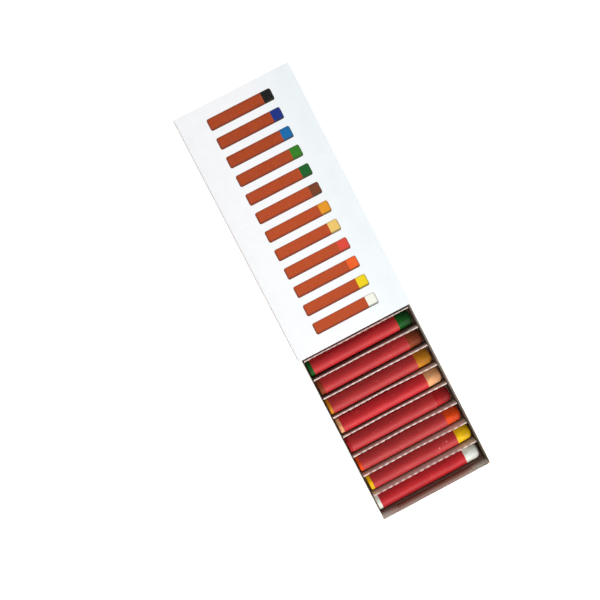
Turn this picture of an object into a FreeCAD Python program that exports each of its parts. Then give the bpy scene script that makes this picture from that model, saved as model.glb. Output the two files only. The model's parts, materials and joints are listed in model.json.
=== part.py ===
import FreeCAD, Part
import math
import os

# Pastel drawer box: a folded card sleeve, a card drawer tray that slides in it, a pleated
# card divider in the tray, and twelve oil pastels that lie in the bays in paper wrappers.
# Units are millimetres and +Z is up. The origin is the centre of the sleeve's underside.
# +X is the way the drawer is drawn out, and +Y is the side of the pastels' long bare tips.

# Oil pastels, which the rest of the box is sized to hold
pastel_length = 71.0
pastel_diameter = 10.4
tip_round = 2.8
butt_round = 0.5

# Paper wrappers
paper = 0.15
wrapper_slack = 0.05
wrapper_length = 59.2
wrapper_margin = 2.1
wrapper_lap = 0.1
lap_span_degrees = 50.0
lap_start_degrees = 200.0

# Room round each pastel in its bay
bay_side_gap = 0.15
bay_end_room = 1.15
pastel_rest_gap = 0.15
pastel_end_gap = 0.2
pastel_headroom = 1.8

# Pleated divider
divider_card = 0.35
divider_end_gap = 0.2
divider_side_gap = 0.5
divider_flap_height = 5.0
ridge_height = 8.8
ridge_foot_width = 2.3
ridge_top_width = 1.0
ridge_lean = 0.6
slit_length = 2.0
slit_bridge = 2.4
slit_width = 0.5
slit_depth = 0.6

# Drawer tray, whose walls lean outward from foot to top
drawer_pull = 109.4
tray_card = 0.5
tray_side_gap = 0.5
tray_top_gap = 0.4
tray_side_lean = 0.4
tray_end_lean = 2.5
tray_end_overhang = 2.2
tray_fold_radius = 0.8
corner_tab_length = 11.0
corner_tab_drop = 0.8
corner_seam = 0.15
corner_seam_inset = 0.95

# Sleeve
sleeve_card = 0.5
sleeve_fold_radius = 0.7
sleeve_inner_radius = 0.2
glue_flap_height = 11.0
glue_flap_taper = 6.0
glue_flap_shoulder = 2.0
lower_seam_notch = 0.35

# One cut length serves every cut that has to run past its body
overrun = 2.0

# Colours from the rear bay to the bay at the drawer's front, how far each pastel lies from
# the middle of its bay's length, and how far its wrapper is slipped from its usual place
colours = ["black", "dark_blue", "light_blue", "light_green", "dark_green", "brown",
           "ochre", "peach", "red", "orange", "yellow", "white"]
pastel_place_shares = [0.1, -0.4, 0.2, -0.1, -0.3, -0.05, -0.4, -0.2, -0.5, -0.3, 0.3, -0.95]
wrapper_slip_shares = [0.0, 0.1, -0.1, 0.05, 0.1, 0.2, -0.1, 0.0, -0.2, -0.1, 0.0, 0.15]
bay_count = len(colours)

# Wrapper and bay sizes
wrapper_inner_radius = pastel_diameter / 2 + wrapper_slack
wrapper_outer_radius = wrapper_inner_radius + paper
bay_pitch = 2 * (wrapper_outer_radius + bay_side_gap) + ridge_foot_width
pastel_play = bay_end_room - pastel_end_gap

# Tray sizes, from the bays and the tabs inside its end walls
divider_length = bay_pitch * bay_count
tray_foot_length = divider_length + 2 * (2 * tray_card + divider_end_gap)
tray_foot_width = pastel_length + 2 * (bay_end_room + tray_card)
divider_width = tray_foot_width - 2 * (tray_card + divider_side_gap)
tray_top_length = tray_foot_length + 2 * tray_end_lean
tray_top_width = tray_foot_width + 2 * tray_side_lean

# Heights above the tray's underside
floor_inside_z = tray_card
bay_floor_z = floor_inside_z + divider_card
pastel_axis_z = bay_floor_z + pastel_rest_gap + wrapper_outer_radius
tray_height = pastel_axis_z + wrapper_outer_radius + pastel_headroom
end_slope = tray_end_lean / tray_height
side_slope = tray_side_lean / tray_height

# Sleeve sizes, from the tray. The glue flap thickens the -Y side, which moves the tray to +Y
sleeve_length = tray_top_length - 2 * tray_end_overhang
sleeve_width = tray_top_width + 2 * tray_side_gap + 3 * sleeve_card
sleeve_height = tray_height + tray_top_gap + 2 * sleeve_card
tray_centre_y = sleeve_card / 2
tray_floor_z = sleeve_card


def point(x, y, z):
    return FreeCAD.Vector(x, y, z)


def polygon_prism(corners, direction):
    """A solid from a flat outline of straight edges, carried along direction."""
    return Part.Face(Part.makePolygon(corners + corners[:1])).extrude(direction)


def box_between(low, high):
    """A box given by its two opposite corners."""
    size = high.sub(low)
    return Part.makeBox(size.x, size.y, size.z, low)


def round_edges(shape, radius, chosen):
    """Rounds the edges that the function chosen picks."""
    return shape.makeFillet(radius, [edge for edge in shape.Edges if chosen(edge)])


def runs_along_x(edge):
    bounds = edge.BoundBox
    return bounds.XLength > bounds.YLength + bounds.ZLength


def make_sleeve():
    """Four panels in one folded sheet, with the glue flap inside the -Y side panel."""
    half_length = sleeve_length / 2
    half_width = sleeve_width / 2
    inner_y = half_width - sleeve_card
    inner_top = sleeve_height - sleeve_card
    outside = box_between(point(-half_length, -half_width, 0),
                          point(half_length, half_width, sleeve_height))

    def is_folded(edge):
        middle = edge.BoundBox.Center
        return runs_along_x(edge) and not (middle.y < 0 and middle.z < sleeve_card)

    outside = round_edges(outside, sleeve_fold_radius, is_folded)
    room = box_between(point(-half_length - overrun, -inner_y, sleeve_card),
                       point(half_length + overrun, inner_y, inner_top))
    room = round_edges(room, sleeve_inner_radius, runs_along_x)

    flap_top = sleeve_card + glue_flap_height
    flap_shoulder = sleeve_card + glue_flap_shoulder
    flap_foot = sleeve_card / 2
    taper_x = half_length - glue_flap_taper
    flap = polygon_prism([point(-half_length, -inner_y, flap_foot),
                          point(half_length, -inner_y, flap_foot),
                          point(half_length, -inner_y, flap_shoulder),
                          point(taper_x, -inner_y, flap_top),
                          point(-taper_x, -inner_y, flap_top),
                          point(-half_length, -inner_y, flap_shoulder)],
                         point(0, sleeve_card, 0))

    # The bottom panel's fold stands back beside the raw lower edge of the side panel
    start_x = -half_length - overrun
    notch = polygon_prism([point(start_x, -inner_y, -overrun),
                           point(start_x, -inner_y + lower_seam_notch + overrun, -overrun),
                           point(start_x, -inner_y, lower_seam_notch)],
                          point(sleeve_length + 2 * overrun, 0, 0))
    return outside.cut(room).fuse(flap).cut(notch).removeSplitter()


def leaning_block(inset_x, inset_y, radius, low_z, high_z, foot_too=False):
    """A block with flat sides as steep as the tray's walls, rounded where it is folded."""
    low_x, high_x = (tray_foot_length / 2 + end_slope * z - inset_x for z in (low_z, high_z))
    low_y, high_y = (tray_foot_width / 2 + side_slope * z - inset_y for z in (low_z, high_z))
    between_ends = polygon_prism([point(-low_x, -high_y, low_z), point(low_x, -high_y, low_z),
                                  point(high_x, -high_y, high_z), point(-high_x, -high_y, high_z)],
                                 point(0, 2 * high_y, 0))
    between_sides = polygon_prism([point(-high_x, -low_y, low_z), point(-high_x, low_y, low_z),
                                   point(-high_x, high_y, high_z), point(-high_x, -high_y, high_z)],
                                  point(2 * high_x, 0, 0))
    block = between_ends.common(between_sides)

    def is_folded(edge):
        bounds = edge.BoundBox
        return bounds.ZLength > (high_z - low_z) / 2 or (foot_too and bounds.ZMax < high_z / 2)

    return round_edges(block, radius, is_folded)


def make_tray():
    """Floor, four leaning walls, and side wall tabs glued inside the end walls."""
    inner_radius = tray_fold_radius - tray_card
    outside = leaning_block(0, 0, tray_fold_radius, 0, tray_height, foot_too=True)
    room = leaning_block(tray_card, tray_card, inner_radius, tray_card, tray_height + overrun)
    tray = outside.cut(room)

    tab_top = tray_height - corner_tab_drop
    tab_room = leaning_block(tray_card, tray_card, inner_radius, tray_card, tab_top)
    inside_tabs = leaning_block(2 * tray_card, tray_card, inner_radius, 0, tray_height)
    tab_sheets = tab_room.cut(inside_tabs)
    tab_reach = tray_foot_width / 2 - tray_card - corner_tab_length
    between_tabs = box_between(point(-tray_top_length, -tab_reach, 0),
                               point(tray_top_length, tab_reach, tray_height))
    tray = tray.fuse(tab_sheets.cut(between_tabs))

    # Open seams where the raw sides of each end panel meet the folded corners
    foot_x = tray_foot_length / 2
    seam_y = tray_foot_width / 2 - corner_seam_inset
    low_x = foot_x + end_slope * tray_card
    high_x = foot_x + end_slope * (tray_height + overrun)
    high_z = tray_height + overrun
    for sign_x in (1, -1):
        for sign_y in (1, -1):
            start_y = sign_y * seam_y - corner_seam / 2
            seam = polygon_prism([point(sign_x * (low_x - tray_card), start_y, tray_card),
                                  point(sign_x * (low_x + overrun), start_y, tray_card),
                                  point(sign_x * (high_x + overrun), start_y, high_z),
                                  point(sign_x * (high_x - tray_card), start_y, high_z)],
                                 point(0, corner_seam, 0))
            tray = tray.cut(seam)
    return tray.removeSplitter()


def ridge_edges(x, foot_z, foot_half, top_half, top_z, forward):
    """One side of a hairpin ridge: up, over the fold and down, in the XZ plane."""
    top_x = x + ridge_lean
    y = -divider_width / 2
    direction = 1 if forward else -1
    start = point(x - direction * foot_half, y, foot_z)
    rise_end = point(top_x - direction * top_half, y, top_z - top_half)
    crown = point(top_x, y, top_z)
    fall_start = point(top_x + direction * top_half, y, top_z - top_half)
    end = point(x + direction * foot_half, y, foot_z)
    edges = [Part.LineSegment(start, rise_end).toShape(),
             Part.Arc(rise_end, crown, fall_start).toShape(),
             Part.LineSegment(fall_start, end).toShape()]
    return start, end, edges


def make_slits(places, top_z):
    """The row of slits that perforates the card along the fold of each ridge."""
    pitch = slit_length + slit_bridge
    count = int((divider_width - slit_bridge) / pitch)
    first_y = (slit_bridge - count * pitch) / 2
    slits = []
    for x in places:
        low_x = x + ridge_lean - slit_width / 2
        for index in range(count):
            low = point(low_x, first_y + index * pitch, top_z - slit_depth)
            slits.append(Part.makeBox(slit_width, slit_length, slit_depth + overrun, low))
    return slits


def make_divider():
    """One pleated sheet: bay floors, a hairpin ridge between bays, and end flaps."""
    y = -divider_width / 2
    half = divider_length / 2
    low_z = floor_inside_z
    high_z = bay_floor_z
    flap_z = low_z + divider_flap_height
    lean = end_slope * divider_flap_height
    top_z = bay_floor_z + ridge_height
    places = [bay_pitch * (index - bay_count / 2) for index in range(1, bay_count)]

    inner_foot_x = half + end_slope * divider_card - divider_card
    inner_tip_x = half + lean - divider_card
    start = point(-half - lean, y, flap_z)
    edges = []
    last = start

    def line_to(target):
        nonlocal last
        edges.append(Part.LineSegment(last, target).toShape())
        last = target

    # Along the upper face from the rear flap to the front one
    line_to(point(-inner_tip_x, y, flap_z))
    line_to(point(-inner_foot_x, y, high_z))
    for x in places:
        foot, far_foot, ridge = ridge_edges(x, high_z, ridge_foot_width / 2,
                                            ridge_top_width / 2, top_z, True)
        line_to(foot)
        edges.extend(ridge)
        last = far_foot
    line_to(point(inner_foot_x, y, high_z))
    line_to(point(inner_tip_x, y, flap_z))

    # And back along the lower face, inside the hairpins
    line_to(point(half + lean, y, flap_z))
    line_to(point(half, y, low_z))
    for x in reversed(places):
        foot, far_foot, ridge = ridge_edges(x, low_z, ridge_foot_width / 2 - divider_card,
                                            ridge_top_width / 2 - divider_card,
                                            top_z - divider_card, False)
        line_to(foot)
        edges.extend(ridge)
        last = far_foot
    line_to(point(-half, y, low_z))
    line_to(start)
    sheet = Part.Face(Part.Wire(edges)).extrude(point(0, divider_width, 0))
    return sheet.cut(Part.makeCompound(make_slits(places, top_z)))


def make_pastel(x, y):
    """A turned stick along Y with a flat butt at -Y and a rounded tip at +Y."""
    radius = pastel_diameter / 2
    butt_y = y - pastel_length / 2
    tip_y = y + pastel_length / 2
    bend = 1 - math.sqrt(0.5)
    z = pastel_axis_z
    corners = [point(x, butt_y, z), point(x + radius - butt_round, butt_y, z),
               point(x + radius, butt_y + butt_round, z), point(x + radius, tip_y - tip_round, z),
               point(x + radius - tip_round, tip_y, z), point(x, tip_y, z)]
    butt_bend = point(x + radius - bend * butt_round, butt_y + bend * butt_round, z)
    tip_bend = point(x + radius - bend * tip_round, tip_y - bend * tip_round, z)
    outline = Part.Wire([Part.LineSegment(corners[0], corners[1]).toShape(),
                         Part.Arc(corners[1], butt_bend, corners[2]).toShape(),
                         Part.LineSegment(corners[2], corners[3]).toShape(),
                         Part.Arc(corners[3], tip_bend, corners[4]).toShape(),
                         Part.LineSegment(corners[4], corners[5]).toShape(),
                         Part.LineSegment(corners[5], corners[0]).toShape()])
    return Part.Face(outline).revolve(corners[0], point(0, 1, 0), 360)


def make_wrapper(x, y):
    """A rolled paper tube along Y, with its lap turned to the lower side."""
    start = point(x, y, pastel_axis_z)
    along = point(0, 1, 0)
    tube = Part.makeCylinder(wrapper_outer_radius, wrapper_length, start, along)
    lap = Part.makeCylinder(wrapper_outer_radius + wrapper_lap, wrapper_length, start, along,
                            lap_span_degrees)
    lap.rotate(start, along, lap_start_degrees)
    bore = Part.makeCylinder(wrapper_inner_radius, wrapper_length + 2 * overrun,
                             point(x, y - overrun, pastel_axis_z), along)
    return tube.fuse(lap).cut(bore).removeSplitter()


def save(shape, name):
    """Writes one sub-part and prints what it is."""
    bounds = shape.BoundBox
    print(f"{name}: valid {shape.isValid()}, solids {len(shape.Solids)}, "
          f"volume {shape.Volume:.2f}, X {bounds.XMin:.2f} to {bounds.XMax:.2f}, "
          f"Y {bounds.YMin:.2f} to {bounds.YMax:.2f}, Z {bounds.ZMin:.2f} to {bounds.ZMax:.2f}")
    shape.exportStep(os.path.join("parts", name + ".step"))


def in_drawer(shape):
    """Moves a piece from the tray's own centre to where the drawer stands."""
    shape.translate(point(drawer_pull, tray_centre_y, tray_floor_z))
    return shape


os.makedirs("parts", exist_ok=True)
save(make_sleeve(), "sleeve")
save(in_drawer(make_tray()), "tray")
save(in_drawer(make_divider()), "divider_insert")
for index, colour in enumerate(colours):
    bay_x = bay_pitch * (index + 0.5 - bay_count / 2)
    pastel_y = pastel_play * pastel_place_shares[index]
    wrapper_y = pastel_y - pastel_length / 2 + wrapper_margin * (1 + wrapper_slip_shares[index])
    save(in_drawer(make_pastel(bay_x, pastel_y)), "pastel_" + colour)
    save(in_drawer(make_wrapper(bay_x, wrapper_y)), "wrapper_" + colour)
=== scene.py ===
import json
import math

import bmesh
import bpy
import numpy as np
from mathutils import Matrix, Vector, noise


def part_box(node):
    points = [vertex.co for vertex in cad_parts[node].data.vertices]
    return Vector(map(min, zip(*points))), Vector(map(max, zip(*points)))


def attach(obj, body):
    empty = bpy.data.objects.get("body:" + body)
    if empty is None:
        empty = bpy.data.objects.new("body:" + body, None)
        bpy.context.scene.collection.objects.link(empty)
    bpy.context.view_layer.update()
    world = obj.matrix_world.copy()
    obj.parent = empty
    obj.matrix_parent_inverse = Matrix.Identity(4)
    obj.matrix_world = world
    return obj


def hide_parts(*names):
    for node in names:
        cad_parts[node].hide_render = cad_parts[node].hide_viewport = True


# Pastel drawer box: a white card sleeve with a printed colour key, a card tray drawn two thirds
# out of it, a pleated divider in the tray, and twelve oil pastels in red paper wrappers.
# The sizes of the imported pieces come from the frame, and what only the looks need is named here.

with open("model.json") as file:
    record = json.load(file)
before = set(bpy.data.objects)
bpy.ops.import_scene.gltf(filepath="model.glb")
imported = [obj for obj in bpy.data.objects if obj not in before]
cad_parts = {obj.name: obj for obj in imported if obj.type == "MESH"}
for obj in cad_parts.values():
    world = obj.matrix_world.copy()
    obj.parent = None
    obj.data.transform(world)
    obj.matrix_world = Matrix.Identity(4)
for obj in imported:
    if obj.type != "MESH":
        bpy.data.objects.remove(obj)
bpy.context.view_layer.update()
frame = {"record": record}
body_with_node = {node: body for body, nodes in frame["record"]["behaviour"]["bodies"].items()
                  for node in nodes}

mm = 0.001
colours = ["black", "dark_blue", "light_blue", "light_green", "dark_green", "brown",
           "ochre", "peach", "red", "orange", "yellow", "white"]

# Camera: an 84 mm lens high over the rear left of the box, turned as the photograph is
camera_place = Vector((-37.4, -70.7, 861.3)) * mm
camera_target = Vector((50.05, -20.0, 0)) * mm
camera_up_degrees = 152.63
camera_lens_mm = 84.39

# Light: one large soft box, low at the front, and white surroundings
key_azimuth_degrees = 12
key_elevation_degrees = 22
key_distance = 1.6
key_size = 1.5
key_watts = 41.5
surround_strength = 0.57
floor_size = 3.0
floor_glow = 0.7

# Card and paper thickness
sleeve_card = 0.48 * mm
tray_card = 0.5 * mm
divider_card = 0.35 * mm
wrapper_paper = 0.15 * mm
ink = 0.03 * mm

# Radii of the folds, measured on the middle of the card
sleeve_fold = 0.45 * mm
tray_fold = 0.55 * mm
divider_fold = 0.2 * mm

# Sleeve: its glue flap, the trim that keeps its ends inside the solid, its raw long edge, how
# far its top has sunk, with ripples in it, and how wide its edges are worn
flap_height = 11 * mm
flap_taper = 6 * mm
flap_shoulder = 2 * mm
flap_clearance = 0.03 * mm
end_trim = 0.01 * mm
raw_edge_rise = 0.35 * mm
top_dip = 0.16 * mm
top_ripple = 0.04 * mm
top_ripple_length = 30 * mm
fold_wear_width = 1.2 * mm
end_wear_width = 1.5 * mm

# Tray: how far its walls lean out, its corner tabs and its open seams, and how its walls bend
end_lean = 2.5 * mm
end_inset = 0.15 * mm
side_lean = 0.4 * mm
tab_length = 11 * mm
tab_drop = 0.8 * mm
tab_proud = 0.15 * mm
seam_inset = 0.95 * mm
seam_width = 0.18 * mm
seam_depth = 0.3 * mm
end_bend = 0.12 * mm
end_bend_length = 22 * mm
side_bend = 0.16 * mm
side_bend_length = 34 * mm
side_draw_in = 0.05 * mm
tab_lift = 0.12 * mm

# Divider: its ridges, its end flaps, the slits along its crowns, and how its crowns wander and
# sink
ridge_height = 8.8 * mm
ridge_foot_width = 2.3 * mm
ridge_top_width = 0.95 * mm
ridge_lean = 0.6 * mm
ridge_knee_share = 0.6
ridge_knee_width = 1.4 * mm
end_flap_height = 5 * mm
end_flap_lean = 0.92 * mm
slit_length = 2.0 * mm
slit_bridge = 2.4 * mm
slit_press = 0.22 * mm
slit_edge = 0.12 * mm
crown_wave = 0.14 * mm
crown_wave_length = 16 * mm
crown_sink = 0.1 * mm
crown_sink_length = 12 * mm
crown_reach_folds = 2.2
slit_gain = 1.6

# How much painted shade lies on the tray's +Y wall, as shares at those places along X in mm, and
# where that begins and is full along Y
wall_shade_places = [82, 100, 115, 130, 145, 160, 175, 190]
wall_shade_shares = [0.2, 0.25, 0.5, 0.55, 0.65, 0.75, 0.85, 0.9]
wall_shade_from_mm = 28
wall_shade_ramp_mm = 6

# Painted shade and red bounce light on the front end wall: shares at places along Y, heights in mm
front_reach_mm = 5
bounce_shade_places = [-37, -24, 22, 36]
bounce_shade_shares = [0, 0.85, 0.9, 0.1]
bounce_shade_heights = [6.5, 9.5, 13]
bounce_shade_height_shares = [1, 0.65, 0.15]

# How much painted light lifts that wall towards its rim, and the corner tabs towards their folds
rim_light_heights = [11.3, 13.3]
rim_light_height_shares = [0, 0.9]
tab_light_places = [-36, -27, 27, 36]
tab_light_shares = [1, 0.3, 0, 0.3]

# How dark the slits are painted as shade, and how much painted dark red shade lies on the -X
# faces, ridge by ridge from the rear
slit_shade_shares = [0.5, 0.5, 0.5, 0.3, 0.5, 0.6, 0.7, 0.8, 1, 1, 1]
rear_shade_shares = [0.3, 0.3, 0.3, 1, 1, 0.7, 0.4, 0.35, 0.15, 0, 0]

# Heights between which painted shade with red bounce light from the wrappers deepens on the board
low_shade_top = 12 * mm
low_shade_bottom = 3 * mm

# Pastels: rounded ends, how far painted shade reaches back from the tip, and how their bare tips
# are dented and their sides out of round
tip_round = 2.8 * mm
tip_round_length = 3.0 * mm
butt_round = 0.5 * mm
tip_shade_length = 8 * mm
dented_length = 12 * mm
dent_depth = 0.1 * mm
dent_size = 3.5 * mm
dent_least = 0.2
stick_wave = 0.02 * mm
stick_wave_length = 9 * mm

# Wrappers: the lap and how it climbs over the paper's first turn, and the uneven roll and ends
lap_degrees = 50
lap_place_degrees = 250
lap_climb_from = 320
lap_climb_degrees = 40
lap_rise_share = 0.65
roll_wave = 0.015 * mm
roll_wave_length = 6 * mm
ragged_depth = 0.12 * mm
ragged_size = 1.6 * mm
ragged_reach = 2 * mm
end_slack = 0.14 * mm

# Where the noise is read, in mm: how far out round a stick and a wrapper, how far on for each
# next ridge, at which height for the crowns' sinking, and how far on for each next pastel
stick_noise_radius = 6
wrapper_noise_radius = 5
ridge_noise_step = 40
sink_noise_place = 90
stick_noise_step = 50
wrapper_noise_step = 70

# Small marks: a dark nick and pale flecks on the wrappers, and a tray corner rubbed to its core
nick_place = Vector((179.0, -24.6, 10.3)) * mm
nick_size = 0.9 * mm
fleck_places = [Vector(place) * mm for place in
                ((170.7, 13.8, 12.2), (169.0, 19.6, 12.3), (144.6, 25.3, 12.0))]
fleck_size = 0.55 * mm
rubbed_corner_place = Vector((193.0, 37.2, 14.0)) * mm
rubbed_corner_size = 1.8 * mm
spot_core = 0.4
spot_strength = 0.85

# Printed colour key on the sleeve's top
key_first = 8.67 * mm
key_pitch = 12.56 * mm
key_thickness = 7.59 * mm
key_butt = -21.4 * mm
key_tip = 21.4 * mm
key_tip_length = 6.6 * mm
key_corner = 1.2 * mm


def linear(red, green, blue):
    """A colour given in the usual 0 to 255 steps, as Blender's linear colour."""
    shares = [value / 255 for value in (red, green, blue)]
    return [s / 12.92 if s < 0.04045 else ((s + 0.055) / 1.055) ** 2.4 for s in shares] + [1]


# How far each ridge's crown has been pushed over, in mm at those places along Y, from the rear
crown_lean_places = [-30, 0, 30]
crown_leans = [(0.6, 0.7, 0.6), (0.5, 0.4, 0.6), (0.7, 0.8, 1.0), (1.35, 1.45, 1.45),
               (1.1, 1.15, 1.65), (0.6, 0.7, 1.1), (0.4, 0.2, 1.2), (0.5, 0.35, 0.95),
               (1.0, 0.6, 1.45), (1.35, 1.25, 1.95), (1.8, 1.85, 1.95)]

wax_colours = {
    "black": linear(34, 33, 34),
    "dark_blue": linear(26, 54, 142),
    "light_blue": linear(8, 116, 184),
    "light_green": linear(52, 146, 40),
    "dark_green": linear(14, 84, 22),
    "brown": linear(136, 58, 26),
    "ochre": linear(192, 122, 18),
    "peach": linear(228, 164, 112),
    "red": linear(170, 28, 30),
    "orange": linear(220, 68, 10),
    "yellow": linear(230, 182, 2),
    "white": linear(238, 242, 230),
}
# How much light wax scatters inside, and how far its red, green and blue get
wax_scatter = 0.12
wax_scatter_reach = (1.2 * mm, 0.9 * mm, 0.7 * mm)

# How far each wrapper's paper has gone from crimson to a duller brick red
paper_fades = {"black": 0.4, "dark_blue": 0.6, "light_blue": 0.3, "light_green": 0.7,
               "dark_green": 0.35, "brown": 0.6, "ochre": 0.85, "peach": 0.1,
               "red": 0.75, "orange": 1.0, "yellow": 0.8, "white": 0.0}

ink_colours = {
    "black": linear(10, 11, 10),
    "dark_blue": linear(14, 46, 134),
    "light_blue": linear(2, 106, 170),
    "light_green": linear(46, 126, 26),
    "dark_green": linear(10, 92, 32),
    "brown": linear(112, 56, 28),
    "ochre": linear(216, 142, 22),
    "peach": linear(222, 186, 100),
    "red": linear(206, 64, 48),
    "orange": linear(222, 88, 22),
    "yellow": linear(224, 196, 8),
    "white": linear(226, 230, 216),
}


def add_node(tree, kind, inputs=None, **settings):
    """Adds one node, gives it its settings, and links or sets its inputs."""
    made = tree.nodes.new("ShaderNode" + kind)
    for name, value in settings.items():
        setattr(made, name, value)
    for key, value in (inputs or {}).items():
        if isinstance(value, bpy.types.NodeSocket):
            tree.links.new(value, made.inputs[key])
        else:
            made.inputs[key].default_value = value
    return made


class Finish:
    """A material under construction, with short ways to add what the finishes here share."""

    def __init__(self, name, colour, roughness, specular=0.5):
        self.material = bpy.data.materials.new(name)
        self.material.use_nodes = True
        self.tree = self.material.node_tree
        self.shader = self.tree.nodes["Principled BSDF"]
        self.shader.inputs["Roughness"].default_value = roughness
        self.shader.inputs["Specular IOR Level"].default_value = specular
        self.places = self.add("TexCoord").outputs
        self.colour = self.add("RGB").outputs[0]
        self.colour.default_value = colour
        self.normal = None

    def add(self, kind, inputs=None, **settings):
        """One more node in this material's tree."""
        return add_node(self.tree, kind, inputs, **settings)

    def grain(self, size, detail=3.0, stretch=(1, 1, 1)):
        """Noise with features about that size, drawn out by stretch along each axis."""
        scale = [1 / (size * s) for s in stretch]
        mapped = self.add("Mapping", {"Vector": self.places["Object"], "Scale": scale})
        return self.add("TexNoise", {"Vector": mapped.outputs[0], "Scale": 1.0,
                                     "Detail": detail, "Roughness": 0.6}).outputs["Fac"]

    def share(self, value, low, high, to_low=0.0, to_high=1.0):
        """A value's place between low and high, held to the range from to_low to to_high."""
        ranged = self.add("MapRange", {"Value": value, "From Min": low, "From Max": high,
                                       "To Min": to_low, "To Max": to_high},
                          interpolation_type="SMOOTHSTEP")
        return ranged.outputs["Result"]

    def depth(self, top, bottom):
        """From 0 at that height and above it to 1 at the lower one."""
        height = self.add("SeparateXYZ", {0: self.places["Object"]}).outputs["Z"]
        return self.share(height, top, bottom)

    def mark(self, name):
        """A vertex mark of that name, from 0 to 1."""
        return self.add("Attribute", attribute_name=name).outputs["Fac"]

    def spot(self, place, size, colour):
        """A small mark at a place on the piece."""
        inputs = {0: self.places["Object"], 1: place}
        away = self.add("VectorMath", inputs, operation="DISTANCE").outputs["Value"]
        self.tint(self.share(away, size, size * spot_core, 0, spot_strength), colour)

    def times(self, first, second):
        """The product of two values."""
        product = self.add("Math", {0: first, 1: second}, operation="MULTIPLY")
        return product.outputs[0]

    def tint(self, share, colour, how="MIX"):
        """Lays a colour over the finish as far as share says."""
        mixed = self.add("Mix", {0: share, 6: self.colour, 7: colour},
                         data_type="RGBA", blend_type=how)
        self.colour = mixed.outputs[2]

    def relief(self, height, depth, strength=1.0):
        """Raises the surface by a height value, as a bump over any bump before it."""
        inputs = {"Height": height, "Distance": depth, "Strength": strength}
        if self.normal is not None:
            inputs["Normal"] = self.normal
        self.normal = self.add("Bump", inputs).outputs[0]

    def done(self):
        """The finished material."""
        self.tree.links.new(self.colour, self.shader.inputs["Base Color"])
        if self.normal is not None:
            self.tree.links.new(self.normal, self.shader.inputs["Normal"])
        return self.material


def board_finish(name, colour, roughness, mottle=0.04, fleck=0.0, specular=0.4, low_bounce_shade=0.0,
                 scuffed=0.5, shades=()):
    """Paper board: faint clouds, fine fibres, flecks of pulp, and scuffs where its wear mark
    says. Low down between the pastels a board can take painted shade with red bounce light from
    the wrappers, and where one more mark says, painted light lifts it again. Each shade multiplies
    the board by a colour as its vertex mark goes from one value to another."""
    finish = Finish(name, colour, roughness, specular)
    clouds = finish.grain(9 * mm, 4)
    fibres = finish.grain(0.5 * mm, 4, (1.0, 2.2, 1.0))
    finish.tint(finish.share(clouds, 0.35, 0.7, 0, mottle), (0.0, 0.0, 0.0, 1))
    finish.tint(finish.share(fibres, 0.4, 0.75, 0, mottle * 1.5), (0.1, 0.1, 0.12, 1))
    if fleck:
        specks = finish.grain(0.7 * mm, 2, (1.0, 3.0, 1.0))
        finish.tint(finish.share(specks, 0.62, 0.72, 0, fleck), linear(90, 76, 58))
    if low_bounce_shade:
        # Painted shade with red bounce light from the wrappers, deepening towards the bottom
        painted_low_shade = finish.depth(low_shade_top, low_shade_bottom)
        finish.tint(finish.times(painted_low_shade, low_bounce_shade), linear(140, 62, 50))
        # Painted light, lifting the board where its mark says
        finish.tint(finish.times(finish.mark("painted_light"), 0.85), linear(248, 243, 236))
    worn = finish.mark("wear")
    scuffs = finish.share(finish.grain(1.6 * mm, 5), 0.42, 0.62)
    finish.tint(finish.times(finish.times(worn, scuffs), scuffed), linear(196, 190, 180))
    for mark, low, high, shade in shades:
        finish.tint(finish.share(finish.mark(mark), low, high), shade, "MULTIPLY")
    finish.spot(rubbed_corner_place, rubbed_corner_size, linear(236, 196, 168))
    finish.relief(fibres, 0.03 * mm, 0.5)
    finish.relief(clouds, 0.5 * mm, 0.25)
    return finish.done()


def crown_finish(name, colour):
    """The pleated board: its folds are cracked to the white core between the slits, which are
    painted dark as shade. Low down it takes painted shade with red bounce light, and one more mark
    lays painted dark red shade on the ridges' rear faces."""
    finish = Finish(name, colour, 0.62, 0.3)
    clouds = finish.grain(6 * mm, 4)
    fibres = finish.grain(0.4 * mm, 4, (1.0, 2.2, 1.0))
    finish.tint(finish.share(clouds, 0.35, 0.7, 0, 0.1), (0.1, 0.06, 0.05, 1))
    finish.tint(finish.share(fibres, 0.4, 0.75, 0, 0.12), (0.1, 0.08, 0.08, 1))
    # Painted shade with red bounce light from the wrappers, deepening towards the bottom
    finish.tint(finish.times(finish.depth(low_shade_top, low_shade_bottom), 0.65), linear(172, 112, 84))
    # Painted dark red shade on the ridges' rear faces, under the pastels
    finish.tint(finish.times(finish.mark("rear_shade"), 0.8), linear(70, 16, 16))
    cracked = finish.share(finish.mark("wear"), 0.25, 0.65)
    finish.tint(finish.times(cracked, 0.95), linear(255, 236, 228))
    flakes = finish.share(finish.grain(0.9 * mm, 4), 0.5, 0.66, 0, 0.2)
    finish.tint(finish.times(cracked, flakes), linear(206, 150, 146))
    # Painted shade in the slits, where the perforations open
    finish.tint(finish.times(finish.mark("slit_shade"), 0.5), linear(148, 76, 66))
    finish.relief(fibres, 0.03 * mm, 0.5)
    finish.relief(clouds, 0.4 * mm, 0.25)
    return finish.done()


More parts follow.
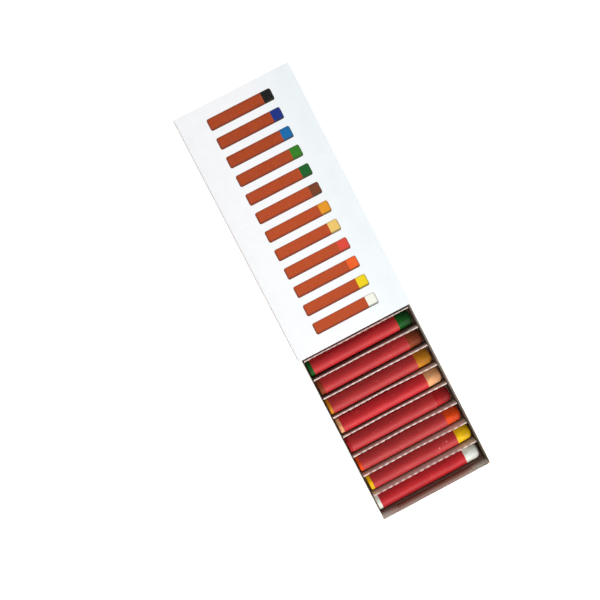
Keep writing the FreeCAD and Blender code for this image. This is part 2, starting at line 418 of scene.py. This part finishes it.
def wrapper_finish(name):
    """Crimson paper: fine fibres, faint creases along the roll, and rubbed paler patches. Each
    wrapper's fade mark takes it towards a duller brick red."""
    finish = Finish(name, linear(188, 22, 30), 0.5, 0.22)
    fibres = finish.grain(0.35 * mm, 4, (1.0, 3.0, 1.0))
    clouds = finish.grain(7 * mm, 4, (0.6, 2.0, 0.6))
    creases = finish.grain(1.8 * mm, 3, (0.5, 14.0, 0.5))
    finish.tint(finish.mark("fade"), linear(165, 41, 39))
    finish.tint(finish.share(clouds, 0.35, 0.65, 0, 0.5), linear(152, 19, 29))
    finish.tint(finish.share(fibres, 0.45, 0.8, 0, 0.16), linear(226, 92, 88))
    rubs = finish.share(finish.grain(3.2 * mm, 6, (0.7, 2.4, 0.7)), 0.6, 0.78)
    finish.tint(finish.times(rubs, 0.4), linear(226, 104, 100))
    finish.spot(nick_place, nick_size, linear(70, 14, 18))
    for place in fleck_places:
        finish.spot(place, fleck_size, linear(240, 150, 140))
    finish.relief(creases, 0.25 * mm, 0.35)
    finish.relief(fibres, 0.03 * mm, 0.5)
    return finish.done()


def wax_finish(name, colour):
    """Oil pastel: a soft waxy sheen, smears along the stick and specks of dark pigment. The tip
    mark darkens a stick towards its tip end, as painted shade."""
    finish = Finish(name, colour, 0.5, 0.1)
    smears = finish.grain(2.5 * mm, 5, (1.0, 2.5, 1.0))
    specks = finish.grain(0.5 * mm, 3)
    dark = [value * 0.45 for value in colour[:3]] + [1]
    pale = [min(value * 1.3 + 0.008, 1) for value in colour[:3]] + [1]
    finish.tint(finish.share(smears, 0.35, 0.62, 0.45, 0), dark)
    finish.tint(finish.share(smears, 0.55, 0.8, 0, 0.4), pale)
    finish.tint(finish.share(specks, 0.68, 0.75, 0, 0.3), dark)
    # Painted shade, darkening the bare tip towards its end
    tip_shade = [value * (0.08 + 0.45 * max(colour[:3])) for value in colour[:3]] + [1]
    finish.tint(finish.times(finish.mark("tip"), 0.85), tip_shade)
    finish.relief(smears, 0.5 * mm, 0.4)
    finish.relief(specks, 0.05 * mm, 0.4)
    finish.shader.inputs["Subsurface Weight"].default_value = wax_scatter
    finish.shader.inputs["Subsurface Radius"].default_value = wax_scatter_reach
    finish.shader.inputs["Subsurface Scale"].default_value = 1.0
    return finish.done()


def ink_finish(name, colour, edge):
    """Offset print: the flat drawing of a crayon, with soft dark edges on its shaded sides. The
    ink lies a little paler towards the sleeve's mouth."""
    finish = Finish(name, colour, 0.45, 0.2)
    places = finish.add("SeparateXYZ", {0: finish.places["Generated"]}).outputs
    across, along = places["X"], places["Y"]
    towards_mouth = finish.add("SeparateXYZ", {0: finish.places["Object"]}).outputs["X"]
    clouds = finish.grain(5 * mm, 4)
    screen = finish.grain(0.3 * mm, 2)
    dark = [value * 0.55 for value in colour[:3]] + [1]
    finish.tint(finish.share(clouds, 0.35, 0.7, 0, 0.25), dark)
    finish.tint(finish.share(across, 0.25, 0.0, 0, 0.35), dark)
    pale = [min(value * 1.3 + 0.005, 1) for value in colour[:3]] + [1]
    finish.tint(finish.share(towards_mouth, -60 * mm, 20 * mm, 0, 0.6), pale)
    finish.tint(finish.share(across, 0.76, 0.97, 0, 0.85), edge)
    finish.tint(finish.share(along, 0.035, 0.0, 0, 0.8), edge)
    finish.tint(finish.share(along, 0.975, 1.0, 0, 0.6), edge)
    finish.tint(finish.share(across, 0.07, 0.0, 0, 0.6), edge)
    finish.tint(finish.share(screen, 0.55, 0.8, 0, 0.12), (1, 1, 1, 1))
    return finish.done()


def mesh_piece(name, bm, materials, smooth=True):
    """An object at the origin from a finished bmesh."""
    bmesh.ops.recalc_face_normals(bm, faces=bm.faces)
    for face in bm.faces:
        face.smooth = smooth
    data = bpy.data.meshes.new(name)
    bm.to_mesh(data)
    bm.free()
    for material in materials:
        data.materials.append(material)
    piece = bpy.data.objects.new(name, data)
    bpy.context.scene.collection.objects.link(piece)
    return piece


def stand_for(piece, node):
    """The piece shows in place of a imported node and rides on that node's body."""
    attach(piece, body_with_node[node])
    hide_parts(node)
    return piece


def soft_noise(x, y, z, size):
    """Smooth noise from -1 to 1 with features about that size, the same at every run."""
    return noise.noise(Vector((x, y, z)) / size)


def rounded_path(corners, radius, arc_steps=6, run_steps=1):
    """Points in a plane along straight runs, with an arc of that radius at each corner."""
    corners = [np.array(corner, float) for corner in corners]
    points = [corners[0]]

    def run_to(target):
        start = points[-1]
        for step in range(1, run_steps + 1):
            points.append(start + (target - start) * step / run_steps)

    for before, corner, after in zip(corners, corners[1:], corners[2:]):
        back = (before - corner) / np.linalg.norm(before - corner)
        ahead = (after - corner) / np.linalg.norm(after - corner)
        turn = math.pi - math.acos(np.clip(back @ ahead, -1, 1))
        reach = radius * math.tan(turn / 2)
        middle = (back + ahead) / np.linalg.norm(back + ahead)
        centre = corner + middle * radius / math.cos(turn / 2)
        first = corner + back * reach - centre
        last = corner + ahead * reach - centre
        run_to(corner + back * reach)
        for step in range(1, arc_steps + 1):
            share = step / arc_steps
            weights = math.sin((1 - share) * turn), math.sin(share * turn)
            points.append(centre + (first * weights[0] + last * weights[1]) / math.sin(turn))
    run_to(corners[-1])
    return np.array(points)


def sheet_faces(bm, middle, thickness, marks=None, looped=False, filled=False):
    """Adds a closed sheet of card or paper to bm. middle is a grid of points, rows by columns, on
    the middle of the sheet. Its front gets material 0, its back 1 and its raw edges 2. A looped
    sheet's last column meets its first, and a filled one's first row is closed by flat faces.
    marks gives names of vertex marks, which the finishes read, and their values."""
    rows, columns = middle.shape[:2]
    down = np.gradient(middle, axis=0)
    if looped:
        across = np.roll(middle, -1, axis=1) - np.roll(middle, 1, axis=1)
    else:
        across = np.gradient(middle, axis=1)
    normals = np.cross(down, across)
    normals /= np.linalg.norm(normals, axis=2, keepdims=True)
    layers = {}
    for name in marks or {}:
        layers[name] = bm.verts.layers.float.get(name) or bm.verts.layers.float.new(name)
    sides = []
    for way in (1, -1):
        side = [[bm.verts.new(middle[r, c] + way * normals[r, c] * thickness / 2)
                 for c in range(columns)] for r in range(rows)]
        sides.append(side)
        for name, layer in layers.items():
            values = np.broadcast_to(marks[name], (rows, columns))
            for r in range(rows):
                for c in range(columns):
                    side[r][c][layer] = values[r][c]

    def face(corners, material):
        made = bm.faces.new(corners)
        made.material_index = material

    spans = columns if looped else columns - 1
    for material, side in enumerate(sides):
        for r in range(rows - 1):
            for c in range(spans):
                n = (c + 1) % columns
                face((side[r][c], side[r][n], side[r + 1][n], side[r + 1][c]), material)
        if filled:
            face(side[0], material)
    front, back = sides
    for r in ([rows - 1] if filled else [0, rows - 1]):
        for c in range(spans):
            n = (c + 1) % columns
            face((front[r][c], front[r][n], back[r][n], back[r][c]), 2)
    if not looped:
        for c in (0, columns - 1):
            for r in range(rows - 1):
                face((front[r][c], front[r + 1][c], back[r + 1][c], back[r][c]), 2)
    for edge in bm.edges:
        if len({linked.material_index for linked in edge.link_faces}) > 1:
            edge.smooth = False


def near_ends(values, reach):
    """From 1 at both ends of a row of places down to 0 at that reach inside them."""
    from_end = np.minimum(values - values.min(), values.max() - values)
    return np.clip(1 - from_end / reach, 0, 1)


def sleeve_dip(x, y):
    """How far the sleeve's top has sunk at a place."""
    low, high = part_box("sleeve")
    middle_share = 1 - (2 * x / (high.x - low.x)) ** 2
    across = 1 - (y / high.y) ** 2
    ripple = top_ripple * (soft_noise(x, y, high.z, top_ripple_length) - 1)
    return (top_dip * middle_share - ripple) * across


def make_sleeve():
    """The sleeve as one folded sheet: glue flap, bottom, +Y side, top, and -Y side outside the
    flap, with raw card ends. Its top lies lower by the thickness of the ink. Its -Y side is
    darkened with painted shade, and a painted cool cast of light grows towards +Y."""
    low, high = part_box("sleeve")
    half = sleeve_card / 2
    near_y, far_y = low.y + half, high.y - half
    floor_z, top_z = low.z + half, high.z - ink - half
    flap_y = low.y + 3 * half + flap_clearance
    first_x, last_x = low.x + end_trim, high.x - end_trim
    stations = np.concatenate([np.linspace(first_x, low.x + flap_taper, 7)[:-1],
                               np.linspace(low.x + flap_taper, high.x - flap_taper, 60),
                               np.linspace(high.x - flap_taper, last_x, 7)[1:]])
    grid = []
    for x in stations:
        to_end = min(x - low.x, high.x - x, flap_taper) / flap_taper
        flap_top = sleeve_card + flap_shoulder + (flap_height - flap_shoulder) * to_end
        outline = rounded_path([(flap_y, flap_top), (flap_y, floor_z), (far_y, floor_z),
                                (far_y, top_z), (near_y, top_z), (near_y, raw_edge_rise)],
                               sleeve_fold, run_steps=12)
        for y, z in outline:
            grid.append((x, y, z - (sleeve_dip(x, y) if z > high.z / 2 else 0)))
    grid = np.array(grid).reshape(len(stations), -1, 3)
    at_folds = near_ends(grid[0, :, 1], fold_wear_width)
    at_ends = near_ends(stations, end_wear_width)
    wear = np.maximum(at_folds[None, :], at_ends[:, None])
    # Painted shade over the -Y side
    shaded_side = np.clip((low.y + sleeve_fold - grid[..., 1]) / (sleeve_fold - half), 0, 1)
    # A painted cool cast of light, growing towards +Y
    cool_light = np.clip(grid[..., 1] / high.y, 0, 1)
    bm = bmesh.new()
    sheet_faces(bm, grid, sleeve_card, {"wear": wear, "shaded_side": shaded_side, "cool_light": cool_light})
    piece = mesh_piece("sleeve_card", bm, [inner_card, outer_card, cut_card])
    return stand_for(piece, "sleeve")


def rectangle_loop(half_x, half_y, radius, breaks):
    """Points round a rounded rectangle, with the same number of points whatever its size. breaks
    are places along Y on the two end sides that get a point of their own."""
    points = []
    arc_steps = 6
    side_points = 40

    def corner(sign_x, sign_y, first_degrees):
        for step in range(arc_steps + 1):
            angle = math.radians(first_degrees + 90 * step / arc_steps)
            points.append((sign_x * (half_x - radius) + radius * math.cos(angle),
                           sign_y * (half_y - radius) + radius * math.sin(angle)))

    runs = np.linspace(-1, 1, side_points + 2)[1:-1] * (half_x - radius)
    points.extend((half_x, y) for y in breaks)
    corner(1, 1, 0)
    points.extend((x, half_y) for x in runs[::-1])
    corner(-1, 1, 90)
    points.extend((-half_x, y) for y in breaks[::-1])
    corner(-1, -1, 180)
    points.extend((x, -half_y) for x in runs)
    corner(1, -1, 270)
    return np.array(points)


def front_bounce_shade(ys, zs):
    """How deep the painted shade and red bounce light lie on the front end wall at places in mm:
    most in the middle, low down.
    """
    return (np.interp(ys, bounce_shade_places, bounce_shade_shares)
            * np.interp(zs, bounce_shade_heights, bounce_shade_height_shares))


def make_tray():
    """The tray's floor and leaning walls in one sheet, open seams in the end walls, and the side
    walls' tabs inside the end walls. Its marks are worn rims, painted shade with red bounce light
    on the front end wall, painted shade on the +Y wall, and painted light towards the front rim
    and on the tabs."""
    low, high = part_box("tray")
    centre = (low + high) / 2
    height = high.z - low.z
    half = tray_card / 2
    foot_x = (high.x - low.x) / 2 - end_lean - end_inset - half
    foot_y = (high.y - low.y) / 2 - side_lean - half
    seam_y = foot_y + half - seam_inset
    lip = seam_width / 8
    sections = [-seam_width / 2, -seam_width / 2 + lip, seam_width / 2 - lip, seam_width / 2]
    inner_y = seam_y - seam_width
    breaks = np.array([-seam_y + place for place in sections]
                      + list(np.linspace(-inner_y, inner_y, 20))
                      + [seam_y + place for place in sections])

    fold_steps = 6
    rows = [(tray_fold * 6, 0), (tray_fold * 2, 0)]
    for step in range(fold_steps + 1):
        angle = math.radians(90 * step / fold_steps)
        rows.append((tray_fold * (1 - math.sin(angle)), tray_fold * (1 - math.cos(angle))))
    rows.extend((0, z) for z in np.linspace(tray_fold, height - half, 9)[1:])
    grid = []
    for inset, rise in rows:
        z = rise + half
        lean_x, lean_y = end_lean * z / height, side_lean * z / height
        loop = rectangle_loop(foot_x + lean_x - inset, foot_y + lean_y - inset, tray_fold, breaks)
        rise_share = rise / height
        for x, y in loop:
            on_end = abs(x) > foot_x - tray_fold
            from_seam = abs(abs(y) - seam_y)
            if on_end and from_seam < seam_width / 2 - lip / 2 and inset == 0:
                x -= math.copysign(seam_depth, x)
            elif on_end:
                bend = end_bend * (soft_noise(x, y, 0, end_bend_length) - 1) * rise_share
                x += math.copysign(bend, x)
            else:
                bend = side_bend * soft_noise(x, y, 0, side_bend_length) - side_draw_in
                y += math.copysign(bend * rise_share, y)
            grid.append((centre.x + x, centre.y + y, low.z + z))
    grid = np.array(grid).reshape(len(rows), -1, 3)
    wear = np.zeros(grid.shape[:2])
    wear[-2:] = 1
    xs, ys, zs = grid[..., 0] / mm, grid[..., 1] / mm, grid[..., 2] / mm
    on_front = np.clip(xs - high.x / mm + front_reach_mm, 0, 1)
    on_side = np.clip((ys - wall_shade_from_mm) / wall_shade_ramp_mm, 0, 1)
    marks = {"wear": wear,
             # Painted shade with red bounce light on the front end wall
             "bounce_shade": on_front * front_bounce_shade(ys, zs),
             # Painted shade on the +Y wall
             "wall_shade": np.interp(xs, wall_shade_places, wall_shade_shares) * on_side,
             # Painted light towards the front wall's rim
             "painted_light": on_front * np.interp(zs, rim_light_heights, rim_light_height_shares)}
    bm = bmesh.new()
    sheet_faces(bm, grid, tray_card, marks, looped=True, filled=True)

    tab_rows = np.linspace(tray_card, height - tab_drop, 7)
    for sign_x in (1, -1):
        for sign_y in (1, -1):
            tab = []
            for z in tab_rows:
                face_x = foot_x - tab_proud + end_lean * z / height
                wall_y = foot_y + side_lean * z / height
                for share in np.linspace(0, 1, 8)[::-sign_x * sign_y]:
                    y = wall_y - share * (tab_length + half)
                    lift = tab_lift * share ** 3
                    tab.append((centre.x + sign_x * (face_x - lift), centre.y + sign_y * y,
                                low.z + z))
            tab = np.array(tab).reshape(len(tab_rows), -1, 3)
            ys = tab[..., 1] / mm
            # Painted light on the tabs, most on the -Y one
            marks = {"painted_light": np.interp(ys, tab_light_places, tab_light_shares),
                     "bounce_shade": front_bounce_shade(ys, tab[..., 2] / mm)}
            sheet_faces(bm, tab, tray_card, marks)
    piece = mesh_piece("tray_card", bm, [tray_inner, tray_outer, tray_edge])
    return stand_for(piece, "tray")


def make_divider():
    """The pleated sheet: bay floors, leaning ridges that are perforated along their folds, and a
    flap up each end wall. Its marks are worn crowns, the slits, which the finish paints dark as
    shade, and painted dark red shade on the ridges' rear faces."""
    low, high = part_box("divider_insert")
    half = divider_card / 2
    floor_z = low.z + half
    crown_z = low.z + divider_card + ridge_height - half
    bays = len(colours)
    sheet_length = high.x - low.x - 2 * end_flap_lean
    pitch = sheet_length / bays
    first_x = low.x + end_flap_lean
    foot = ridge_foot_width / 2 - half
    top = ridge_top_width / 2 - half
    knee = ridge_knee_width / 2 - half
    knee_z = floor_z + ridge_height * ridge_knee_share
    crown_reach = crown_reach_folds * divider_fold

    slit_pitch = slit_length + slit_bridge
    slit_count = int((high.y - low.y - slit_bridge) / slit_pitch)
    first_slit = (low.y + high.y + slit_bridge - slit_count * slit_pitch) / 2
    stations, pressed = [low.y], [0]
    for index in range(slit_count):
        start = first_slit + index * slit_pitch
        for place, press in ((-slit_edge, 0), (slit_edge, 1), (slit_length / 2, 1),
                             (slit_length - slit_edge, 1), (slit_length + slit_edge, 0)):
            stations.append(start + place)
            pressed.append(press)
    stations.append(high.y)
    pressed.append(0)

    grid, wear, slit_shade, rear_shade = [], [], [], []
    for y, press in zip(stations, pressed):
        corners = [(low.x + half, low.z + end_flap_height), (first_x + half, floor_z)]
        for index in range(1, bays):
            x = first_x + index * pitch
            noise_x = index * ridge_noise_step * mm
            wave = crown_wave * soft_noise(noise_x, y, 0, crown_wave_length)
            sink = soft_noise(noise_x, y, sink_noise_place * mm, crown_sink_length) - 1
            lean = np.interp(y / mm, crown_lean_places, crown_leans[index - 1]) * mm
            crown_x = x + lean + wave
            z = crown_z + crown_sink * sink
            knee_x = x + ridge_lean * ridge_knee_share
            corners += [(x - foot, floor_z), (knee_x - knee, knee_z), (crown_x - top, z),
                        (crown_x + top, z), (knee_x + knee, knee_z), (x + foot, floor_z)]
        corners += [(high.x - end_flap_lean - half, floor_z),
                    (high.x - half, low.z + end_flap_height)]
        for x, z in rounded_path(corners, divider_fold, arc_steps=4, run_steps=3):
            at_crown = max(0.0, 1 - (crown_z - z) / crown_reach)
            gape = press * min(1.0, slit_gain * at_crown)
            z -= slit_press * gape
            grid.append((x, y, z))
            wear.append(at_crown)
            ridge = int(np.clip(round((x - first_x) / pitch), 1, bays - 1))
            # How dark the slit is painted as shade
            slit_shade.append(gape * slit_shade_shares[ridge - 1])
            from_ridge = x - first_x - ridge * pitch - crown_leans[ridge - 1][1] * mm
            on_rear_face = from_ridge < -top and z > floor_z + half
            # Painted shade on the ridge's rear face
            rear_shade.append(rear_shade_shares[ridge - 1] if on_rear_face else 0.0)
    grid = np.array(grid).reshape(len(stations), -1, 3)
    bm = bmesh.new()
    marks = {"wear": np.array(wear).reshape(grid.shape[:2]),
             "slit_shade": np.array(slit_shade).reshape(grid.shape[:2]),
             "rear_shade": np.array(rear_shade).reshape(grid.shape[:2])}
    sheet_faces(bm, grid, divider_card, marks)
    piece = mesh_piece("divider_card", bm, [pleat_card, pleat_card, pleat_edge])
    return stand_for(piece, "divider_insert")


def make_stick(colour, seed):
    """One oil pastel: a turned stick along Y with a flat butt at -Y and a rounded tip at +Y,
    pressed a little out of round and dented at its bare ends."""
    low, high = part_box("pastel_" + colour)
    centre = (low + high) / 2
    radius = (high.x - low.x) / 2
    butt_steps, tip_steps, around = 4, 10, 48
    outline = [(0.0, low.y), (radius - butt_round, low.y)]
    for step in range(1, butt_steps + 1):
        angle = math.radians(90 * step / butt_steps)
        outline.append((radius - butt_round * (1 - math.sin(angle)),
                        low.y + butt_round * (1 - math.cos(angle))))
    straight = np.linspace(low.y + butt_round, high.y - tip_round_length, 34)
    outline.extend((radius, y) for y in straight[1:])
    for step in range(1, tip_steps + 1):
        angle = math.radians(90 * step / tip_steps)
        outline.append((radius - tip_round * (1 - math.cos(angle)),
                        high.y - tip_round_length * (1 - math.sin(angle))))
    outline.append((0.0, high.y))
    bm = bmesh.new()
    tip_mark = bm.verts.layers.float.new("tip")
    rings = []
    for distance, y in outline:
        # How far the painted shade has reached here, rising towards the tip
        tip_shade = max(0.0, 1 - (high.y - y) / tip_shade_length)
        bare = max(0.0, 1 - (high.y - y) / dented_length)
        if distance == 0.0:
            rings.append([bm.verts.new((centre.x, y, centre.z))])
            rings[-1][0][tip_mark] = tip_shade
            continue
        ring = []
        for step in range(around):
            angle = 2 * math.pi * step / around
            across, up = math.cos(angle), math.sin(angle)
            noise_x, noise_z = across * stick_noise_radius * mm, up * stick_noise_radius * mm
            dent = soft_noise(noise_x + seed, y, noise_z, dent_size)
            wave = soft_noise(noise_x, y + seed, noise_z, stick_wave_length)
            shrink = dent_depth * max(0.0, dent) * (dent_least + bare) + stick_wave * (1 + wave)
            reach = distance - shrink
            ring.append(bm.verts.new((centre.x + reach * across, y, centre.z + reach * up)))
            ring[-1][tip_mark] = tip_shade
        rings.append(ring)
    for first, second in zip(rings, rings[1:]):
        for step in range(around):
            following = (step + 1) % around
            if len(first) == 1:
                bm.faces.new((first[0], second[following], second[step]))
            elif len(second) == 1:
                bm.faces.new((first[step], first[following], second[0]))
            else:
                bm.faces.new((first[step], first[following], second[following], second[step]))
    wax = wax_finish("wax_" + colour, wax_colours[colour])
    piece = mesh_piece("stick_" + colour, bm, [wax])
    return stand_for(piece, "pastel_" + colour)


def make_wrapper(colour, seed):
    """One wrapper: a strip of paper rolled once round the stick, with its lap underneath."""
    low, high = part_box("wrapper_" + colour)
    centre_x = (low.x + high.x) / 2
    outer = (high.x - low.x) / 2
    axis_z = high.z - outer
    inner = outer - wrapper_paper / 2
    lap_rise = wrapper_paper * lap_rise_share
    stations = np.linspace(low.y, high.y, 40)
    sweep = np.linspace(0, 360 + lap_degrees, 100)
    grid = []
    for y in stations:
        for turned in sweep:
            angle = math.radians(lap_place_degrees + turned)
            across, up = math.cos(angle), math.sin(angle)
            over = min(max((turned - lap_climb_from) / lap_climb_degrees, 0), 1)
            noise_x = across * wrapper_noise_radius * mm
            noise_z = up * wrapper_noise_radius * mm
            wave = soft_noise(noise_x, y + seed, noise_z, roll_wave_length)
            radius = inner + lap_rise * over - roll_wave * (1 + wave)
            ragged = ragged_depth * soft_noise(noise_x + seed, y, noise_z, ragged_size)
            at_end = min(1.0, min(y - low.y, high.y - y) / ragged_reach)
            slip = (end_slack + ragged) * (1 - at_end)
            towards = slip if y < (low.y + high.y) / 2 else -slip
            grid.append((centre_x + radius * across, y + towards, axis_z + radius * up))
    grid = np.array(grid).reshape(len(stations), -1, 3)
    bm = bmesh.new()
    sheet_faces(bm, grid, wrapper_paper, {"fade": paper_fades[colour]})
    piece = mesh_piece("paper_" + colour, bm, [red_paper, red_paper, cut_paper])
    return stand_for(piece, "wrapper_" + colour)


def make_print(colour, index):
    """One two-tone crayon of the printed colour key, as a film of ink that follows the dip of the
    sleeve's top. Its outer corners are rounded."""
    low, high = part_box("sleeve")
    start_x = low.x + key_first + index * key_pitch
    middle_x = start_x + key_thickness / 2
    split = key_tip - key_tip_length
    corner = np.linspace(0, 1, 6)[:-1]
    points_across = 9
    stations = np.concatenate([key_butt + key_corner * corner,
                               np.linspace(key_butt + key_corner, split, 16)[:-1],
                               np.linspace(split, key_tip - key_corner, 4)[:-1],
                               key_tip - key_corner * (1 - corner), [key_tip]])
    bm = bmesh.new()
    rows = []
    for y in stations:
        into_corner = max(0.0, key_butt + key_corner - y, y - key_tip + key_corner)
        cut = key_corner - math.sqrt(max(0.0, key_corner ** 2 - into_corner ** 2))
        half_width = key_thickness / 2 - cut
        row = []
        for share in np.linspace(-1, 1, points_across):
            x = middle_x + share * half_width
            z = high.z - sleeve_dip(x, y)
            row.append((bm.verts.new((x, y, z)), bm.verts.new((x, y, z - 2 * ink))))
        rows.append(row)
    for first, second in zip(rows, rows[1:]):
        tone = 1 if first[0][0].co.y > split - ink else 0
        for layer in (0, 1):
            for a, b, c, d in zip(first, first[1:], second[1:], second):
                bm.faces.new((a[layer], b[layer], c[layer], d[layer])).material_index = tone
        for side in (0, -1):
            edge = (first[side][0], first[side][1], second[side][1], second[side][0])
            bm.faces.new(edge).material_index = tone
    for tone, row in enumerate((rows[0], rows[-1])):
        for first, second in zip(row, row[1:]):
            edge = (first[0], first[1], second[1], second[0])
            bm.faces.new(edge).material_index = tone
    tip = ink_finish("ink_" + colour, ink_colours[colour], linear(60, 56, 40))
    piece = mesh_piece("print_" + colour, bm, [ink_body, tip], smooth=False)
    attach(piece, "sleeve_body")
    return piece


def make_camera():
    """The camera, aimed at its target and rolled until the given direction is up."""
    data = bpy.data.cameras.new("camera")
    data.lens = camera_lens_mm
    data.sensor_width = 36
    camera = bpy.data.objects.new("camera", data)
    bpy.context.scene.collection.objects.link(camera)
    back = (camera_place - camera_target).normalized()
    turn = math.radians(camera_up_degrees)
    right = Vector((math.cos(turn), math.sin(turn), 0)).cross(back).normalized()
    up = back.cross(right)
    camera.matrix_world = (Matrix.Translation(camera_place)
                           @ Matrix((right, up, back)).transposed().to_4x4())
    bpy.context.scene.camera = camera


def make_light():
    """The soft box and the white surroundings."""
    data = bpy.data.lights.new("key", "AREA")
    data.shape = "SQUARE"
    data.size = key_size
    data.energy = key_watts
    light = bpy.data.objects.new("key", data)
    bpy.context.scene.collection.objects.link(light)
    azimuth, elevation = math.radians(key_azimuth_degrees), math.radians(key_elevation_degrees)
    towards = Vector((math.cos(azimuth) * math.cos(elevation),
                      math.sin(azimuth) * math.cos(elevation), math.sin(elevation)))
    light.location = camera_target + towards * key_distance
    light.rotation_euler = towards.to_track_quat("Z", "Y").to_euler()

    world = bpy.data.worlds.new("surroundings")
    world.use_nodes = True
    background = world.node_tree.nodes["Background"]
    background.inputs["Color"].default_value = (1, 1, 1, 1)
    background.inputs["Strength"].default_value = surround_strength
    bpy.context.scene.world = world


def make_floor():
    """A white floor that glows a little, so that it stays white under the box."""
    finish = Finish("floor", (0.95, 0.95, 0.95, 1), 0.9, 0.1)
    finish.shader.inputs["Emission Color"].default_value = (1, 1, 1, 1)
    finish.shader.inputs["Emission Strength"].default_value = floor_glow
    half = floor_size / 2
    bm = bmesh.new()
    bm.faces.new([bm.verts.new((x * half, y * half, 0))
                  for x, y in ((-1, -1), (1, -1), (1, 1), (-1, 1))])
    mesh_piece("floor", bm, [finish.done()])


# Colours are shown as they are, without a film look
settings = bpy.context.scene.view_settings
settings.view_transform = "Standard"
settings.look = "None"
settings.exposure = 0
settings.gamma = 1

# The finishes of the card, the paper and the ink, each shared by all the pieces made of it
# The outer card: painted shade on the sleeve's -Y side, and a painted cool cast of light towards
# +Y
outer_card = board_finish("outer_card", linear(250, 251, 253), 0.42, mottle=0.02, scuffed=0.05,
                          shades=[("shaded_side", 0, 1, (0.5, 0.45, 0.43, 1)),
                                  ("cool_light", 0, 1, (0.92, 0.97, 0.975, 1))])
inner_card = board_finish("inner_card", linear(206, 200, 186), 0.7, mottle=0.1, fleck=0.25)
cut_card = board_finish("cut_card", linear(218, 210, 198), 0.85, mottle=0.12, fleck=0.3)
# The divider's raw edges take painted shade with red bounce light low down
pleat_edge = board_finish("pleat_edge", linear(218, 206, 192), 0.85, mottle=0.12, low_bounce_shade=0.95)
tray_outer = board_finish("tray_outer", linear(240, 239, 236), 0.5, mottle=0.04)
# The tray's inside takes painted shade with red bounce light low down
tray_inner = board_finish("tray_inner", linear(218, 211, 196), 0.7, mottle=0.1, fleck=0.25,
                          # Painted shade with red bounce light on the front end wall
                          low_bounce_shade=0.75, shades=[("bounce_shade", 0, 1, (0.93, 0.45, 0.36, 1)),
                                               # Painted shade on the +Y wall
                                               ("wall_shade", 0.45, 0.95, (0.36, 0.31, 0.23, 1))])
tray_edge = board_finish("tray_edge", linear(218, 210, 198), 0.85, mottle=0.12, fleck=0.3,
                         # Painted shade on the rim of the front end wall
                         shades=[("bounce_shade", 0, 0.14, (0.3, 0.2, 0.16, 1)),
                                 # Painted shade on the rim of the +Y wall
                                 ("wall_shade", 0, 1, (0.25, 0.21, 0.18, 1))])
pleat_card = crown_finish("pleat_card", linear(230, 214, 202))
cut_paper = board_finish("cut_paper", linear(214, 120, 84), 0.8, mottle=0.1)
red_paper = wrapper_finish("red_paper")
ink_body = ink_finish("ink_body", linear(172, 67, 22), linear(104, 48, 34))

make_camera()
make_light()
make_floor()
make_sleeve()
make_tray()
make_divider()
for number, colour_name in enumerate(colours):
    make_stick(colour_name, number * stick_noise_step * mm)
    make_wrapper(colour_name, number * wrapper_noise_step * mm)
    make_print(colour_name, number)
